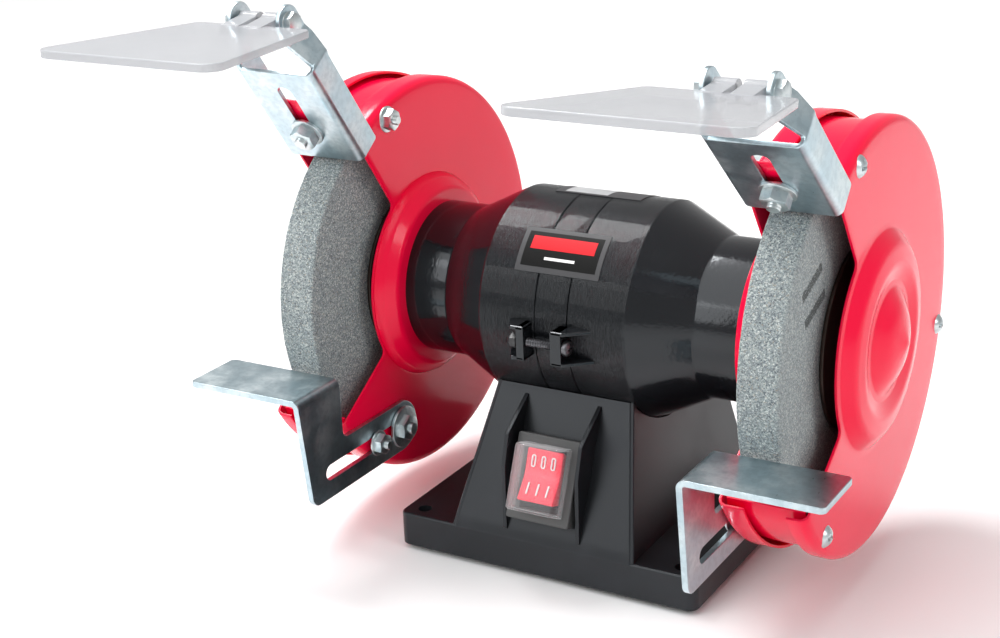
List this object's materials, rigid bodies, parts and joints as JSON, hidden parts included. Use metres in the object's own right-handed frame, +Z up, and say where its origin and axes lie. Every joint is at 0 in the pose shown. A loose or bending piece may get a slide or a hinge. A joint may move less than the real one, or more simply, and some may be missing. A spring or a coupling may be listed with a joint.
{
  "type": "bench grinder",
  "caption": "Electric bench grinder with an abrasive wheel at each shaft end, enclosing guards, tool rests, spark guard brackets, clear eye shields and a rocker switch on its pedestal base",
  "frame": {"origin": "under the middle of the whole machine, on the plane under the rubber feet", "axes": "X along the wheel shaft towards the right-hand wheel, Y from the switch side to the back, Z up"},
  "size_m": [0.2726, 0.2576, 0.2296],
  "materials": {
    "black_gloss": "high gloss black paint with a little orange peel",
    "black_satin": "satin black paint",
    "red_paint": "high gloss red paint on pressed sheet",
    "zinc": "bright zinc plate",
    "abrasive": "coarse grey vitrified abrasive grain",
    "dark_steel": "dark steel",
    "steel": "turned steel",
    "clear": "clear plastic",
    "rubber": "black rubber",
    "switch_black": "fine matt black plastic",
    "switch_red": "red plastic",
    "copper": "varnished copper wire",
    "lamination": "dark steel sheets",
    "capacitor": "cream plastic can"
  },
  "bodies": {
    "frame": {"base_shell": "black_satin", "bearing_left": "steel", "bearing_right": "steel", "bottom_plate": "dark_steel", "bracket_bolt_left": "zinc", "bracket_bolt_right": "zinc", "cable_gland": "rubber", "foot_front_left": "rubber", "foot_front_right": "rubber", "foot_rear_left": "rubber", "foot_rear_right": "rubber", "guard_cover_left": "red_paint", "guard_cover_right": "red_paint", "guard_inner_left": "red_paint", "guard_inner_right": "red_paint", "guard_screw_lower_left": "zinc", "guard_screw_lower_right": "zinc", "guard_screw_rear_left": "zinc", "guard_screw_rear_right": "zinc", "guard_screw_upper_left": "zinc", "guard_screw_upper_right": "zinc", "guard_strip_left": "red_paint", "guard_strip_right": "red_paint", "housing_left": "black_gloss", "housing_right": "black_gloss", "rest_bolt_left": "zinc", "rest_bolt_right": "zinc", "run_capacitor": "capacitor", "stator_core": "black_gloss", "switch_cover": "clear", "switch_frame": "switch_black", "tie_nut_front": "steel", "tie_nut_rear": "steel", "tie_screw_front": "steel", "tie_screw_rear": "steel", "winding_left": "copper", "winding_right": "copper"},
    "rotor": {"shaft": "steel", "rotor_core": "lamination", "wheel_left": "abrasive", "wheel_right": "abrasive", "inner_flange_left": "dark_steel", "inner_flange_right": "dark_steel", "outer_flange_left": "dark_steel", "outer_flange_right": "dark_steel", "wheel_nut_left": "zinc", "wheel_nut_right": "zinc"},
    "rocker": {"switch_rocker": "switch_red"},
    "rest_left": {"tool_rest_left": "zinc"},
    "bracket_left": {"spark_bracket_left": "zinc", "shield_bolt_outer_left": "zinc", "shield_bolt_inner_left": "zinc"},
    "shield_left": {"eye_shield_left": "clear"},
    "rest_right": {"tool_rest_right": "zinc"},
    "bracket_right": {"spark_bracket_right": "zinc", "shield_bolt_outer_right": "zinc", "shield_bolt_inner_right": "zinc"},
    "shield_right": {"eye_shield_right": "clear"}
  },
  "joints": [
    {"name": "rotor_spin", "type": "hinge", "parent": "frame", "child": "rotor", "pos_m": [0, 0.04558, 0.102], "axis": [1, 0, 0], "continuous": true},
    {"name": "rocker_tilt", "type": "hinge", "parent": "frame", "child": "rocker", "pos_m": [0, -0.00147, 0.04051], "axis": [1, 0, 0], "range_deg": [0, 16]},
    {"name": "rest_slide_left", "type": "slide", "parent": "frame", "child": "rest_left", "axis": [0, 1, 0], "range_m": [-0.002, 0.0018]},
    {"name": "bracket_slide_left", "type": "slide", "parent": "frame", "child": "bracket_left", "axis": [0, -0.5878, 0.809], "range_m": [-0.0008, 0.004]},
    {"name": "shield_hinge_left", "type": "hinge", "parent": "bracket_left", "child": "shield_left", "pos_m": [-0.0993, -0.03361, 0.2231], "axis": [1, 0, 0], "range_deg": [-60, 60]},
    {"name": "rest_slide_right", "type": "slide", "parent": "frame", "child": "rest_right", "axis": [0, 1, 0], "range_m": [-0.002, 0.0018]},
    {"name": "bracket_slide_right", "type": "slide", "parent": "frame", "child": "bracket_right", "axis": [0, -0.749, 0.6626], "range_m": [-0.0008, 0.004]},
    {"name": "shield_hinge_right", "type": "hinge", "parent": "bracket_right", "child": "shield_right", "pos_m": [0.0993, -0.04596, 0.21467], "axis": [1, 0, 0], "range_deg": [-60, 60]}
  ]
}
